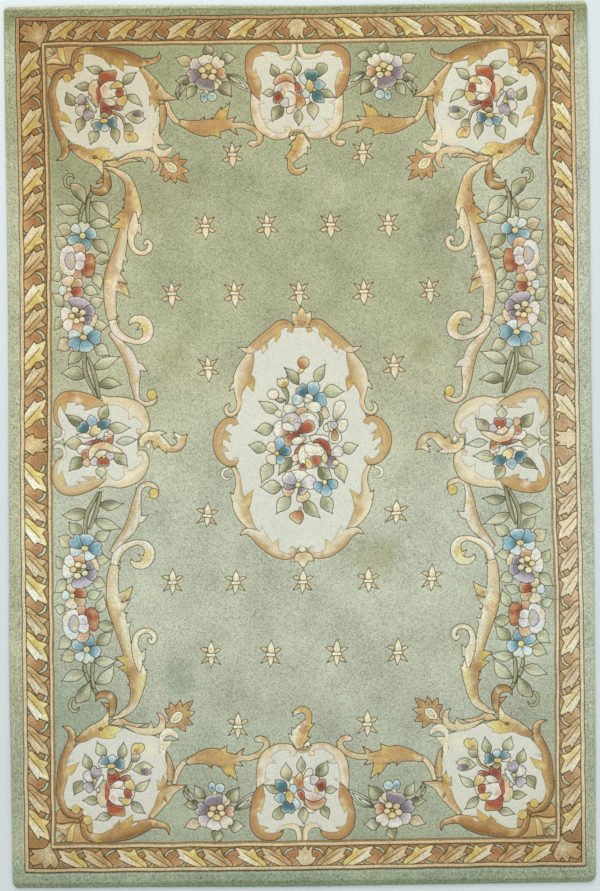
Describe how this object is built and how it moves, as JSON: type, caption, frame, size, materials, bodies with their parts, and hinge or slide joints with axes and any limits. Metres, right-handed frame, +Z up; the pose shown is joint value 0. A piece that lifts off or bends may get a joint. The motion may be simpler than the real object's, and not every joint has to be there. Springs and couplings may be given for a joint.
{
  "type": "aubusson rug",
  "caption": "Flat rectangular hand-tufted wool rug with rounded pile edges, a carved leaf border and flower medallions on a sage field.",
  "frame": {"origin": "on the floor under the middle of the rug", "axes": "+Z up out of the pile, +Y along the long sides towards the end shown at the top, +X across to the right"},
  "size_m": [1.8284, 2.758, 0.014],
  "materials": {
    "wool_pile": "cut wool pile, matt with a soft sheen, carved lines between the colours",
    "cotton_backing": "plain undyed cotton cloth on the underside"
  },
  "bodies": {
    "root": {"rug": "wool_pile"}
  },
  "joints": []
}
